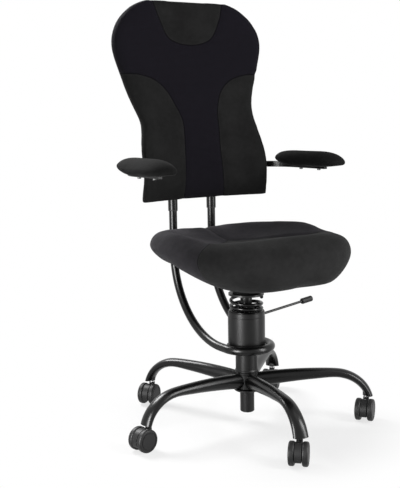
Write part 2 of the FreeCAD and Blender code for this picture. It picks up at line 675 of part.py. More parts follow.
def build_tilting_joint():
    """Two yokes and a cross: the seat leans on it in every direction."""
    middle = V(0, 0, pivot_z)
    pin = PIVOT_PIN_DIAMETER
    near = CROSS_BLOCK / 2 + YOKE_EAR_GAP
    far = near + YOKE_EAR_THICKNESS
    radius = YOKE_EAR_RADIUS
    half_bar = YOKE_BAR_LENGTH / 2
    bar_top = recess_z + YOKE_BAR_THICKNESS
    lower = block(V(-half_bar, -YOKE_BAR_WIDTH / 2, recess_z), V(half_bar, YOKE_BAR_WIDTH / 2, bar_top))
    upper = cylinder(POST_DIAMETER, post_z, plate_z)
    for side in (-1, 1):
        ear = block(V(near, -radius, recess_z), V(far, radius, pivot_z))
        ear = ear.fuse(rod_along(2 * radius, middle + V(near, 0, 0), middle + V(far, 0, 0)))
        hung = block(V(-radius, near, pivot_z), V(radius, far, post_z + 2))
        hung = hung.fuse(rod_along(2 * radius, middle + V(0, near, 0), middle + V(0, far, 0)))
        if side < 0:
            ear = ear.mirror(V(0, 0, 0), V(1, 0, 0))
            hung = hung.mirror(V(0, 0, 0), V(0, 1, 0))
        lower = lower.fuse(ear)
        upper = upper.fuse(hung)
    hole = pin + 2 * SHAFT_GAP
    lower = lower.cut(rod_along(hole, middle - V(2 * far, 0, 0), middle + V(2 * far, 0, 0)))
    upper = upper.cut(rod_along(hole, middle - V(0, 2 * far, 0), middle + V(0, 2 * far, 0)))
    save("lower_yoke", lower)
    save("upper_yoke", upper)
    half = V(CROSS_BLOCK / 2, CROSS_BLOCK / 2, CROSS_HEIGHT / 2)
    cross = block(middle - half, middle + half)
    cross = cross.fuse(rod_along(pin, middle - V(far, 0, 0), middle + V(far, 0, 0)))
    save("pivot_cross", cross.fuse(rod_along(pin, middle - V(0, far, 0), middle + V(0, far, 0))))


def spring_height(turn):
    """Height and slope of the wire's middle: flat ends, close turns, an open last one."""
    bottom = recess_z + SPRING_WIRE / 2 + CONTACT_GAP
    top = plate_z - SPRING_WIRE / 2 - CONTACT_GAP
    close_end = SPRING_TURNS - SPRING_OPEN_TURNS
    first = 0.5
    stations = (
        (0.0, bottom, 0.0),
        (first, bottom + SPRING_FIRST_RISE, SPRING_PITCH),
        (close_end, bottom + SPRING_FIRST_RISE + SPRING_PITCH * (close_end - first), SPRING_PITCH),
        (SPRING_TURNS, top, 0.0),
    )
    for (a, za, sa), (b, zb, sb) in zip(stations, stations[1:]):
        if turn <= b:
            span = b - a
            t = (turn - a) / span
            height = za * (1 + 2 * t) * (1 - t) ** 2 + sa * span * t * (1 - t) ** 2
            height += zb * t * t * (3 - 2 * t) + sb * span * t * t * (t - 1)
            slope = (zb - za) * 6 * t * (1 - t) / span
            slope += sa * (1 - t) * (1 - 3 * t) + sb * t * (3 * t - 2)
            return height, slope


def spring_station(turn):
    """Point and direction of the wire at a turn."""
    angle = math.radians(SPRING_START_ANGLE) - 2 * math.pi * turn
    height, slope = spring_height(turn)
    point = V(SPRING_RADIUS * math.cos(angle), SPRING_RADIUS * math.sin(angle), height)
    ring = 2 * math.pi * SPRING_RADIUS
    way = V(ring * math.sin(angle), -ring * math.cos(angle), slope)
    return point, way.normalize()


def tangent_arc(start, way, end):
    """Arc from a start along a direction to an end."""
    chord = end - start
    side = chord - way * chord.dot(way)
    side.normalize()
    radius = chord.dot(chord) / (2 * chord.dot(side))
    centre = start + side * radius
    middle = centre + ((start - centre) + (end - centre)).normalize() * radius
    return Part.Arc(start, middle, end).toShape()


def biarc(start, way, end, end_way):
    """Two arcs that join two points with given directions."""
    chord = end - start
    both = way + end_way
    lean = 1 - way.dot(end_way)
    reach = chord.dot(both)
    length = (math.sqrt(reach * reach + 2 * lean * chord.dot(chord)) - reach) / (2 * lean)
    middle = (start + way * length + end - end_way * length) * 0.5
    there = (end - end_way * length - start - way * length).normalize()
    return [tangent_arc(start, way, middle), tangent_arc(middle, there, end)]


def build_spring():
    """Coil spring of one wire: quarter-turn biarcs with straight flat ends."""
    quarters = [spring_station(step / 4.0) for step in range(4 * SPRING_TURNS + 1)]
    first, first_way = quarters[0]
    last, last_way = quarters[-1]
    tail = first - first_way * SPRING_WIRE
    edges = [Part.LineSegment(tail, first).toShape()]
    for (a, way_a), (b, way_b) in zip(quarters, quarters[1:]):
        edges += biarc(a, way_a, b, way_b)
    edges.append(Part.LineSegment(last, last + last_way * SPRING_WIRE).toShape())
    section = Part.Wire(Part.Circle(tail, first_way, SPRING_WIRE / 2).toShape())
    spring = Part.Wire(edges).makePipeShell([section], True, False)
    save("coil_spring", spring)
    count = 60
    points = [spring_station(step / count)[0] for step in range(count * SPRING_TURNS + 1)]
    points = [tail] + points + [last + last_way * SPRING_WIRE]
    apart = count // 2
    least = min(
        points[i].distanceToPoint(points[j])
        for i in range(len(points))
        for j in range(i + apart, len(points))
    )
    print("coil spring least gap to itself %.2f mm" % (least - SPRING_WIRE))
    length = sum(edge.Length for edge in edges)
    print("coil spring volume %.0f, wire section times length %.0f" % (
        spring.Volume, math.pi * SPRING_WIRE ** 2 / 4 * length))


def tube_run(diameter):
    """The back tube's whole run as a solid of one diameter."""
    radius = diameter / 2
    loop = Part.Face(Part.Wire(Part.Circle(V(LOOP_RADIUS, 0, loop_z), V(0, 1, 0), radius).toShape()))
    run = loop.revolve(V(0, 0, 0), V(0, 0, 1), -180)
    for side in (-1, 1):
        x = side * LOOP_RADIUS
        run = run.fuse(rod_along(diameter, V(x, 0, loop_z), V(x, LOOP_STRAIGHT, loop_z)))
        disc = Part.Face(Part.Wire(Part.Circle(V(x, LOOP_STRAIGHT, loop_z), V(0, 1, 0), radius).toShape()))
        run = run.fuse(disc.revolve(V(x, LOOP_STRAIGHT, bend_z), V(1, 0, 0), 90))
        run = run.fuse(rod_along(diameter, V(x, tube_y, bend_z), V(x, tube_y, TUBE_TOP_Z)))
    return run


def build_back_tube():
    """One bent tube: round the housing, back under the seat and up behind it."""
    save("back_tube", tube_run(TUBE_DIAMETER).cut(tube_run(TUBE_DIAMETER - 2 * TUBE_WALL)))


def seat_half_width(share):
    return SEAT_HALF_WIDTH * (1 - abs(share) ** SEAT_SQUARENESS) ** (1 / SEAT_SQUARENESS)


def seat_section(share, under, rim, crest, middle):
    """Outline across the seat cushion: flat underside, full sides, hollow top."""
    y = SEAT_MIDDLE_Y + SEAT_HALF_DEPTH * share
    half = seat_half_width(share)
    foot = V(half * SEAT_BOTTOM_SHARE, y, cushion_z + under)
    edge = V(half, y, cushion_z + rim)
    top = V(half * SEAT_CREST_SHARE, y, cushion_z + crest)
    hollow = V(0, y, cushion_z + middle)
    lower = bowed(foot, edge, SEAT_LOWER_BOW)
    upper = bowed(edge, top, SEAT_UPPER_BOW)

    def other(point):
        return V(-point.x, point.y, point.z)

    return outline(
        other(foot), foot, (lower, edge), (upper, top), (hollow, other(top)),
        (other(upper), other(edge)), (other(lower), other(foot)),
    )


def build_seat():
    """Seat plate on the post, moulded shell, cushion and screws."""
    screws = []
    holes = []
    head_top = plate_z + SEAT_SCREW_HEAD_DEPTH
    for index in range(SEAT_SCREW_COUNT):
        angle = math.radians(360.0 / SEAT_SCREW_COUNT * (index + 0.5))
        place = V(math.cos(angle), math.sin(angle), 0) * (SEAT_SCREW_CIRCLE / 2)
        for size, group in ((0, screws), (2 * SHAFT_GAP, holes)):
            head = Part.makeCone(
                (SEAT_SCREW_HEAD + size) / 2, (SEAT_SCREW_DIAMETER + size) / 2,
                head_top - plate_z, V(place.x, place.y, plate_z),
            )
            top = plate_z + SEAT_SCREW_LENGTH + size
            group.append(head.fuse(cylinder(SEAT_SCREW_DIAMETER + size, plate_z, top, place.x, place.y)))
    plate = cylinder(SEAT_PLATE_DIAMETER, plate_z, shell_z)
    rings = []
    for share, half_width, front, rear in SHELL_RINGS:
        middle = V(0, (front + rear) / 2, shell_z + SHELL_HEIGHT * share)
        rings.append(oval(middle, V(half_width, 0, 0), V(0, (rear - front) / 2, 0)))
    cushion = Part.makeLoft([seat_section(*station) for station in SEAT_STATIONS], True, False)
    lowered = cushion.copy()
    lowered.translate(V(0, 0, -CONTACT_GAP))
    shell = Part.makeLoft(rings, True, False).cut(lowered)
    for hole in holes:
        plate = plate.cut(hole)
        shell = shell.cut(hole)
    save("seat_plate", plate)
    save("seat_shell", shell)
    save("seat_screws", Part.makeCompound([screw.removeSplitter() for screw in screws]))
    save("seat_cushion", cushion)


def rear_arc(half, edge_y, middle_y, new_half):
    """Place of an arc through both edges and the middle, at another half width."""
    sag = middle_y - edge_y
    radius = (half * half + sag * sag) / (2 * sag)
    return middle_y - radius + math.sqrt(radius * radius - new_half * new_half)


def back_section(z, half, edge_y, hollow, thickness):
    """Outline across the back cushion: hollow front, round edges, bowed back."""
    round_off = BACK_EDGE_ROUND
    front = V(half - round_off, edge_y, z)
    rear = V(half - round_off, edge_y + thickness, z)
    side = V(half, edge_y + thickness / 2, z)

    def other(point):
        return V(-point.x, point.y, point.z)

    return outline(
        other(front), (V(0, edge_y + hollow, z), front), (side, rear),
        (V(0, edge_y + hollow + thickness, z), other(rear)), (other(side), other(front)),
    )


def board_section(z, half, edge_y, hollow, thickness):
    """Outline across the back board, behind the cushion."""
    middle_y = edge_y + hollow + thickness + SOFT_GAP
    narrow = half - BOARD_INSET
    side_y = rear_arc(half - BACK_EDGE_ROUND, edge_y + thickness + SOFT_GAP, middle_y, narrow)
    deep = V(0, BOARD_THICKNESS, 0)
    left = V(-narrow, side_y, z)
    right = V(narrow, side_y, z)
    middle = V(0, middle_y, z)
    return outline(left, (middle, right), right + deep, (middle + deep, left + deep))


def screw_shape(start, way, diameter, head, length):
    """Screw with its round head's underside at the start, shank along the way."""
    top = start - way * SCREW_HEAD_HEIGHT
    cap = rod_along(head, start, top)
    far = [edge for edge in cap.Edges if edge.Closed and edge.CenterOfMass.distanceToPoint(top) < CONTACT_GAP]
    cap = cap.makeFillet(SCREW_HEAD_ROUNDING, far)
    first = way.cross(V(1, 0, 0)) * (head * SCREW_SOCKET_SHARE / 2)
    turn = FreeCAD.Rotation(way, 60)
    corners = []
    for corner in range(6):
        corners.append(top + first)
        first = turn.multVec(first)
    key = Part.Face(outline(*corners)).extrude(way * SCREW_SOCKET_DEPTH)
    shank = rod_along(diameter, start, start + way * length)
    return shank.fuse(cap).cut(key).removeSplitter()


def build_backrest():
    """Carrier on the back tube, board, cushion and screws."""
    outer = CARRIER_DIAMETER
    bore = outer - 2 * CARRIER_WALL
    top = CARRIER_BOTTOM_Z + CARRIER_LENGTH
    strap_y = tube_y - outer / 2 + 1.0
    strap_front = strap_y - STRAP_THICKNESS
    carrier = None
    guides = []
    for side in (-1, 1):
        x = side * LOOP_RADIUS
        sleeve = cylinder(outer, CARRIER_BOTTOM_Z, top, x, tube_y)
        carrier = sleeve if carrier is None else carrier.fuse(sleeve)
        bottom = CARRIER_BOTTOM_Z
        guide = cylinder(bore - 2 * SEAT_GAP, bottom, bottom + GUIDE_LENGTH, x, tube_y)
        guide = guide.fuse(cylinder(outer, bottom - GUIDE_FLANGE, bottom, x, tube_y))
        hole = cylinder(TUBE_DIAMETER + 2 * SHAFT_GAP, 0, top, x, tube_y)
        guides.append(guide.cut(hole).removeSplitter())
        upper = cylinder(bore - 2 * SEAT_GAP, top - CARRIER_CAP - GUIDE_LENGTH, top - CARRIER_CAP, x, tube_y)
        guides.append(upper.cut(hole))
    for height in strap_heights:
        half = V(STRAP_WIDTH / 2, 0, STRAP_HEIGHT / 2)
        carrier = carrier.fuse(block(V(0, strap_front, height) - half, V(0, strap_y, height) + half))
    for side in (-1, 1):
        x = side * LOOP_RADIUS
        carrier = carrier.cut(cylinder(bore, CARRIER_BOTTOM_Z, top - CARRIER_CAP, x, tube_y))

    loft = Part.makeLoft([board_section(*station) for station in BACK_STATIONS], True, False)
    low = BACK_STATIONS[0][0] + BOARD_INSET
    high = BACK_STATIONS[-1][0] - BOARD_INSET
    reach = 2 * BACK_STATIONS[0][1]
    board = loft.common(block(V(-reach, 0, low), V(reach, 2 * reach, high)))
    screws = []
    tools = []
    for side in (-1, 1):
        for height in strap_heights:
            start = V(side * BACK_SCREW_X, strap_y, height)
            board = board.fuse(boss_to(start.x, height, strap_front))
            screws.append(screw_shape(start, V(0, -1, 0), SCREW_DIAMETER, SCREW_HEAD, BACK_SCREW_LENGTH))
            end = start - V(0, BACK_SCREW_LENGTH + 1, 0)
            tools.append(rod_along(SCREW_DIAMETER + 2 * SHAFT_GAP, start, end))
        for place in (arm_inner_screw_x, arm_outer_screw_x):
            height = ARM_BAR_BOTTOM_Z + ARM_BAR_HEIGHT / 2
            front = arm_bar_y() - ARM_BAR_THICKNESS / 2
            board = board.fuse(boss_to(side * place, height, front))
            start = V(side * place, front, height)
            tools.append(rod_along(SCREW_DIAMETER + 2 * SHAFT_GAP, start, start - V(0, ARM_SCREW_LENGTH, 0)))
    for tool in tools:
        board = board.cut(tool)
        carrier = carrier.cut(tool)
    save("back_carrier", carrier)
    save("back_guides", Part.makeCompound(guides))
    save("back_board", board)
    save("back_screws", Part.makeCompound(screws))
    save("back_cushion", Part.makeLoft([back_section(*station) for station in BACK_STATIONS], True, False))


def board_middle_y(x, z):
    """Middle of the board's thickness at a place, between the stations."""
    for low, high in zip(BACK_STATIONS, BACK_STATIONS[1:]):
        if low[0] <= z <= high[0]:
            share = (z - low[0]) / (high[0] - low[0])
            half, edge_y, hollow, thickness = [a + (b - a) * share for a, b in zip(low[1:], high[1:])]
            edge = edge_y + thickness
            flat = half - BACK_EDGE_ROUND
            return rear_arc(flat, edge, edge + hollow, abs(x)) + SOFT_GAP + BOARD_THICKNESS / 2


def boss_to(x, z, rear_y):
    """Boss from the board back to a flat seat."""
    return rod_along(BOARD_BOSS_DIAMETER, V(x, board_middle_y(x, z), z), V(x, rear_y, z))


def arm_bar_y():
    """Middle of the arm bar's rear run, clear of the board beside it."""
    heights = (ARM_BAR_BOTTOM_Z, arm_bar_top_z)
    rear = max(board_middle_y(arm_start_x, z) for z in heights) + BOARD_THICKNESS / 2
    return rear + ARM_STANDOFF + ARM_BAR_THICKNESS / 2


def pad_section(share, wide, under, top):
    """Outline across an arm pad: flat underside, round sides, domed top."""
    half = PAD_HALF_WIDTH * wide
    y = PAD_MIDDLE_Y + PAD_HALF_LENGTH * share
    rim = under + (top - under) * PAD_RIM_SHARE
    foot = V(half * PAD_FOOT_SHARE, y, pad_z + under)
    edge = V(half, y, pad_z + rim)
    lower = bowed(foot, edge, PAD_LOWER_BOW)

    def other(point):
        return V(-point.x, point.y, point.z)

    return outline(
        other(foot), foot, (lower, edge), (V(0, y, pad_z + top), other(edge)), (other(lower), other(foot)),
    )


def arm_bar_shape(room):
    """Bent arm bar, with some room added on all sides."""
    half = ARM_BAR_THICKNESS / 2 + room
    low = ARM_BAR_BOTTOM_Z - room
    high = arm_bar_top_z + room
    rear_y = arm_bar_y()
    corner_y = rear_y - ARM_BAR_BEND
    bar = block(V(arm_start_x - room, rear_y - half, low), V(arm_corner_x, rear_y + half, high))
    bar = bar.fuse(block(V(ARM_X - half, ARM_BAR_FRONT_Y - room, low), V(ARM_X + half, corner_y, high)))
    section = Part.Face(outline(
        V(ARM_X - half, corner_y, low), V(ARM_X + half, corner_y, low),
        V(ARM_X + half, corner_y, high), V(ARM_X - half, corner_y, high),
    ))
    return bar.fuse(section.revolve(V(arm_corner_x, corner_y, 0), V(0, 0, 1), 90)).removeSplitter()


def pad_base_shape(room, low, high):
    """Oval plate under a pad, with some room added all round."""
    middle = V(ARM_X, PAD_MIDDLE_Y, low)
    across = V(PAD_HALF_WIDTH * PAD_BASE_SHARE + room, 0, 0)
    along = V(0, PAD_HALF_LENGTH * PAD_BASE_SHARE + room, 0)
    return Part.Face(oval(middle, across, along)).extrude(V(0, 0, high - low))


def build_armrests():
    """Bent arm bars behind the board, pads that hang down round their bases and bars, and their screws."""
    half = ARM_BAR_THICKNESS / 2
    low = ARM_BAR_BOTTOM_Z
    high = arm_bar_top_z
    rear_y = arm_bar_y()
    bar = arm_bar_shape(0.0)
    base = pad_base_shape(0.0, high, high + PAD_BASE_THICKNESS)
    pad = Part.makeLoft([pad_section(*station) for station in PAD_STATIONS], True, False)
    pad.translate(V(ARM_X, 0, 0))
    pocket = pad_base_shape(PAD_ROOM, low, pad_z)
    for shape in (base, pad, pocket):
        shape.rotate(V(ARM_X, PAD_MIDDLE_Y, 0), V(0, 0, 1), PAD_TOE_OUT)
    pad = pad.cut(pocket).cut(arm_bar_shape(PAD_ROOM))
    screws = []
    for place in (arm_inner_screw_x, arm_outer_screw_x):
        start = V(place, rear_y + half, (low + high) / 2)
        screws.append(screw_shape(start, V(0, -1, 0), SCREW_DIAMETER, SCREW_HEAD, ARM_SCREW_LENGTH))
        bar = bar.cut(rod_along(SCREW_DIAMETER + 2 * SHAFT_GAP, start, start - V(0, ARM_SCREW_LENGTH, 0)))
    for step in (-1, 1):
        start = V(ARM_X, PAD_MIDDLE_Y + step * PAD_SCREW_REACH, low)
        length = ARM_BAR_HEIGHT + PAD_BASE_THICKNESS - CONTACT_GAP
        screws.append(screw_shape(start, V(0, 0, 1), PAD_SCREW_DIAMETER, PAD_SCREW_HEAD, length))
        hole = rod_along(PAD_SCREW_DIAMETER + 2 * SHAFT_GAP, start, V(start.x, start.y, pad_z))
        bar = bar.cut(hole)
        base = base.cut(hole)
    bases = []
    all_screws = []
    for name, side in (("left", 1), ("right", -1)):
        def placed(shape):
            return shape if side > 0 else shape.mirror(V(0, 0, 0), V(1, 0, 0))
        save("arm_bar_" + name, placed(bar))
        save("arm_pad_" + name, placed(pad))
        bases.append(placed(base))
        all_screws += [placed(screw) for screw in screws]
    save("arm_pad_bases", Part.makeCompound(bases))
    save("arm_screws", Part.makeCompound(all_screws))


os.makedirs("parts", exist_ok=True)
build_base()
build_casters()
build_column()
build_gas_cylinder()
build_lever()
build_housing()
build_tilting_joint()
build_spring()
build_back_tube()
build_seat()
build_backrest()
build_armrests()
print("pieces", len(made))
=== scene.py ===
# %% [markdown]
# # A balance chair, dressed for its portrait
# The hard parts of this chair come from CAD: legs, casters, column, spring, tubes and screws are already
# there, at their real size. What is left for Blender is everything that a hand would feel: paint,
# plastic, brushed upholstery and knitted mesh, and the padded pieces in their true, slightly lazy shapes.
# Everything is in metres, +Z is up, and the sitter looks towards -Y.

# %% Load the frame
import json
import math

import bmesh
import bpy
import numpy as np
from mathutils import Matrix, Vector
from mathutils.bvhtree import BVHTree


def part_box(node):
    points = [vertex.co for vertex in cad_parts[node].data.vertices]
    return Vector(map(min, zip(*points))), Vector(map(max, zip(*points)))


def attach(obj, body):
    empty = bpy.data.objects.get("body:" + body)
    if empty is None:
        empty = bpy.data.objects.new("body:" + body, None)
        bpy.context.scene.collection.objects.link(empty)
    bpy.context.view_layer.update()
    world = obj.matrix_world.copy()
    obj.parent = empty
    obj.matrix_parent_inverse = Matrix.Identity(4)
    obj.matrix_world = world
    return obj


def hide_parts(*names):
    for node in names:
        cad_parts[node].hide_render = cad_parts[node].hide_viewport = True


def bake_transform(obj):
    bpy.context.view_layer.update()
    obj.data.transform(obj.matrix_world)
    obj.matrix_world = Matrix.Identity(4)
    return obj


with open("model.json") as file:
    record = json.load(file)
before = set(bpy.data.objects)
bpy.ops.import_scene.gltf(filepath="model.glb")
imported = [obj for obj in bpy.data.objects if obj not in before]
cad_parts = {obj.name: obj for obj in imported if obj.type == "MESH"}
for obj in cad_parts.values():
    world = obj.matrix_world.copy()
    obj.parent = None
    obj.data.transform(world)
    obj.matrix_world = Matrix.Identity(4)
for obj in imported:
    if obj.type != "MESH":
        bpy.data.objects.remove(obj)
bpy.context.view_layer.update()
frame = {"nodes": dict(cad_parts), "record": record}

nodes = frame["nodes"]
scene = bpy.context.scene

# %% [markdown]
# ## Where the photographer stood
# The stems of the five casters lie on a known circle, so their places in the picture give the camera:
# how far away it stood, how high, and how long its lens was. A camera made from these numbers sees the
# chair as the photograph does, so each edge can be compared with the picture directly.

# %% Camera
PHOTO_HEIGHT_PIXELS = 488
FOCAL_LENGTH_PIXELS = 912.6
SENSOR_WIDTH = 36.0
CAMERA_AZIMUTH = math.radians(-35.5)
CAMERA_DISTANCE = 2.2142
CAMERA_HEIGHT = 0.7688
CAMERA_YAW = math.radians(2.89)
CAMERA_PITCH = math.radians(8.16)
CAMERA_ROLL = math.radians(-1.01)


def make_camera():
    """Camera on a tripod: turned, tipped down and rolled a little."""
    data = bpy.data.cameras.new("camera")
    data.sensor_width = SENSOR_WIDTH
    data.lens = SENSOR_WIDTH * FOCAL_LENGTH_PIXELS / PHOTO_HEIGHT_PIXELS
    heading = CAMERA_AZIMUTH + CAMERA_YAW
    level = math.cos(CAMERA_PITCH)
    look = Vector((-math.sin(heading) * level, math.cos(heading) * level, -math.sin(CAMERA_PITCH)))
    right = Vector((math.cos(heading), math.sin(heading), 0))
    up = right.cross(look)
    lean_right = right * math.cos(CAMERA_ROLL) + up * math.sin(CAMERA_ROLL)
    lean_up = up * math.cos(CAMERA_ROLL) - right * math.sin(CAMERA_ROLL)
    turn = Matrix((lean_right, lean_up, -look)).transposed()
    camera = bpy.data.objects.new("camera", data)
    place = Vector((math.sin(CAMERA_AZIMUTH), -math.cos(CAMERA_AZIMUTH), 0)) * CAMERA_DISTANCE
    camera.matrix_world = Matrix.Translation(place + Vector((0, 0, CAMERA_HEIGHT))) @ turn.to_4x4()
    scene.collection.objects.link(camera)
    scene.camera = camera
    return camera


camera = make_camera()
print("lens", round(camera.data.lens, 1), "mm")

# %% [markdown]
# ## Shader maths as plain sums
# A material is a web of small nodes. Wiring them by hand hides the idea, so one small class wraps a
# socket and lets Python's own operators add the Math nodes: `1 - mask` is then a node web too.

# %% Shader helpers
MIX_FIRST_COLOUR = 6
MIX_SECOND_COLOUR = 7
MIX_COLOUR_OUT = 2


class Wire:
    """A value that runs through a material; sums with it add Math nodes."""

    def __init__(self, shader, socket):
        self.shader = shader
        self.socket = socket

    def math(self, operation, *others):
        sockets = {0: self}
        for index, other in enumerate(others):
            sockets[index + 1] = other
        return self.shader.node("ShaderNodeMath", {"operation": operation}, sockets)

    def __add__(self, other):
        return self.math("ADD", other)

    def __radd__(self, other):
        return self.math("ADD", other)

    def __sub__(self, other):
        return self.math("SUBTRACT", other)

    def __rsub__(self, other):
        return self.math("MULTIPLY_ADD", -1.0, other)

    def __mul__(self, other):
        return self.math("MULTIPLY", other)

    def __rmul__(self, other):
        return self.math("MULTIPLY", other)

    def __truediv__(self, other):
        return self.math("DIVIDE", other)

    def fraction(self):
        return self.math("FRACT")

    def step(self, low, high):
        """0 below low, 1 above high, smooth between."""
        sockets = {"Value": self, "From Min": low, "From Max": high}
        return self.shader.node("ShaderNodeMapRange", {"interpolation_type": "SMOOTHSTEP"}, sockets)


class Shader:
    """One material with its Principled surface."""

    def __init__(self, name, **surface):
        self.material = bpy.data.materials.new(name)
        self.material.use_nodes = True
        self.tree = self.material.node_tree
        self.surface = self.tree.nodes["Principled BSDF"]
        for socket, value in surface.items():
            self.surface.inputs[socket.replace("_", " ")].default_value = value

    def node(self, kind, settings=None, sockets=None, output=0):
        """Add a node, its settings first, then the values or links of its sockets."""
        made = self.tree.nodes.new(kind)
        for name, value in (settings or {}).items():
            setattr(made, name, value)
        for name, value in (sockets or {}).items():
            if isinstance(value, Wire):
                self.tree.links.new(value.socket, made.inputs[name])
            else:
                made.inputs[name].default_value = value
        return Wire(self, made.outputs[output])

    def feed(self, socket, wire):
        self.tree.links.new(wire.socket, self.surface.inputs[socket])

    def place(self):
        """Object coordinates: metres in the chair's own frame."""
        return self.node("ShaderNodeTexCoord", output="Object")

    def axes(self):
        split = self.node("ShaderNodeSeparateXYZ", sockets={"Vector": self.place()})
        outputs = split.socket.node.outputs
        return [Wire(self, outputs[index]) for index in range(3)]

    def noise(self, scale, detail, stretch=(1, 1, 1)):
        mapped = self.node("ShaderNodeMapping", sockets={"Vector": self.place(), "Scale": stretch})
        return self.node("ShaderNodeTexNoise", sockets={"Vector": mapped, "Scale": scale, "Detail": detail})

    def wander(self, middle, spread, scale, detail):
        """A number that drifts over the surface by half of spread to either side of its middle."""
        return self.noise(scale, detail) * spread + (middle - spread / 2)

    def mix(self, factor, first, second):
        """Blend two colours; each is a plain colour or a wire."""
        sockets = {"Factor": factor, MIX_FIRST_COLOUR: first, MIX_SECOND_COLOUR: second}
        return self.node("ShaderNodeMix", {"data_type": "RGBA"}, sockets, MIX_COLOUR_OUT)

    def bump(self, height, distance):
        sockets = {"Height": height, "Distance": distance, "Strength": 1.0}
        self.feed("Normal", self.node("ShaderNodeBump", sockets=sockets))


# %% [markdown]
# ## Paint, plastic and steel
# The frame is black powder coat: nearly smooth, but with the fine ripple that baked powder keeps. The
# moulded parts are duller and grained, and steel shows the lines of its drawing. Nothing is one flat
# colour: each finish drifts slightly between a darker and a lighter shade, and in gloss, because that
# drift is what tells paint from plastic in a highlight.

# %% Hard finishes
POWDER_RIPPLE = 0.000012
DRAWN_STRETCH = (1, 1, 40)
DRAWN_SPREAD = 0.2
DRAWN_DEPTH = 0.00003

# Tone and roughness of each finish, and the depth of a plastic's grain
PAINTS = {
    "frame_paint": (0.0025, 0.3),
    "column_paint": (0.004, 0.4),
    "spring_paint": (0.002, 0.26),
    "lever_paint": (0.003, 0.32),
}
PLASTICS = {
    "sleeve_plastic": (0.004, 0.36, 0.00003),
    "grip_plastic": (0.006, 0.5, 0.00005),
    "inner_plastic": (0.03, 0.5, 0.00003),
    "hood_plastic": (0.012, 0.46, 0.00003),
    "wheel_plastic": (0.012, 0.48, 0.00003),
    "shell_plastic": (0.005, 0.6, 0.00012),
    "pad_base_plastic": (0.008, 0.42, 0.00008),
}
STEELS = {
    "bare_steel": (0.5, 0.3),
    "screw_steel": (0.06, 0.4),
}


def grey(value):
    return (value, value, value, 1.0)


def cool(value):
    """Grey with the faint blue of moulded plastic."""
    return (value, value, value * 1.02, 1.0)


def shades(shader, factor, tone, dark, light, cast=grey):
    """Blend from a darker to a lighter shade of one tone."""
    return shader.mix(factor, cast(tone * dark), cast(tone * light))


def paint(name, tone, roughness):
    shader = Shader(name, IOR=1.5, Specular_IOR_Level=0.2, Coat_Weight=0.08, Coat_Roughness=0.15)
    clouds = shader.noise(scale=18.0, detail=3.0)
    shader.feed("Base Color", shades(shader, clouds, tone, dark=0.8, light=1.25))
    shader.feed("Roughness", shader.wander(roughness, spread=0.12, scale=45.0, detail=4.0))
    shader.bump(shader.noise(scale=700.0, detail=2.0), POWDER_RIPPLE)
    return shader.material


def plastic(name, tone, roughness, grain):
    shader = Shader(name, IOR=1.46, Specular_IOR_Level=0.28)
    clouds = shader.noise(scale=25.0, detail=3.0)
    shader.feed("Base Color", shades(shader, clouds, tone, dark=0.85, light=1.2, cast=cool))
    shader.feed("Roughness", shader.wander(roughness, spread=0.14, scale=60.0, detail=3.0))
    shader.bump(shader.noise(scale=1600.0, detail=3.0), grain)
    return shader.material


def steel(name, tone, roughness):
    shader = Shader(name, Metallic=1.0)
    drawn = shader.noise(scale=400.0, detail=3.0, stretch=DRAWN_STRETCH)
    shader.feed("Base Color", shades(shader, drawn, tone, dark=0.85, light=1.1))
    shader.feed("Roughness", drawn * DRAWN_SPREAD + (roughness - DRAWN_SPREAD / 2))
    shader.bump(drawn, DRAWN_DEPTH)
    return shader.material


def dress(piece, material):
    piece.data.materials.clear()
    piece.data.materials.append(material)


FINISHES = {}
for maker, table in ((paint, PAINTS), (plastic, PLASTICS), (steel, STEELS)):
    for name, values in table.items():
        FINISHES[name] = maker(name, *values)
slot_of = {row["node"]: row["material_slot"] for row in frame["record"]["subparts"]}
for name, node in nodes.items():
    if slot_of[name] in FINISHES:
        dress(node, FINISHES[slot_of[name]])
print("hard finishes", len(FINISHES))

# %% [markdown]
# ## Two cloths
# The chair wears two black cloths. The seat, the arm pads, and the wings and headrest of the backrest are
# a brushed microfibre, whose nap catches light at grazing angles and lies in faint cloudy patches. The
# middle of the backrest is a knitted spacer mesh with rows of tiny holes, a shade deeper and bluer; the
# holes are darker, partly the layer beneath and partly painted shade. Every cover reads a number that is
# stored on its points: the distance to the nearest seam. Its sign tells the panels apart, mesh from
# microfibre on the backrest, and on the seat the front panel from the rear ones, which are painted lighter
# and more violet: painted sheen, the light they catch at grazing angles put into their colour. Its size
# draws the fold in which the panels are sewn together, and the fold is painted darker: painted shade in
# the seam's crease.

# %% Soft finishes
CLOTH = {"Roughness": 0.9, "Specular_IOR_Level": 0.06, "Sheen_Roughness": 0.35}
BACK_SHEEN = 0.03
NAP_TONE = 0.0135
WEAVE_BUMP = 0.0003
YARN = (0.0092, 0.0080, 0.0125, 1)
# Dark colour of the mesh holes, partly the layer beneath and partly painted shade, and of the backrest's
# seam fold, where it is painted shade
HOLE_AND_FOLD_PAINTED_SHADE = (0.0022, 0.0018, 0.0032, 1)
MESH_PITCH = 0.0036
MESH_ROW = MESH_PITCH * 0.8
HOLE_CORE = 0.2
HOLE_RIM = 0.38
KNIT_HEIGHT = 2.0
FOLD_CORE = 0.0003
FOLD_HALF_WIDTH = 0.0028
FOLD_DEPTH = 3.0
# Colour in the seat's seam fold, as a share of the cloth's tone: painted shade in the crease
FOLD_PAINTED_SHADE = 0.3
PANEL_EDGE = 0.0004


def painted_sheen_cast(value):
    """Grey with a slight violet cast: painted sheen, the grazing light on the rear panels put into colour.
    """
    return (value, value * 0.94, value * 1.08, 1.0)


def nap_colour(shader, tone, cast=grey):
    """Large and small clouds of lighter and darker nap."""
    clouds = shader.noise(scale=16.0, detail=5.0) * 0.7 + shader.noise(scale=90.0, detail=4.0) * 0.3
    return shades(shader, clouds.step(0.25, 0.75), tone, dark=0.72, light=1.3, cast=cast)


def nap_height(shader):
    return shader.noise(scale=900.0, detail=4.0) + shader.noise(scale=2600.0, detail=2.0) * 0.5


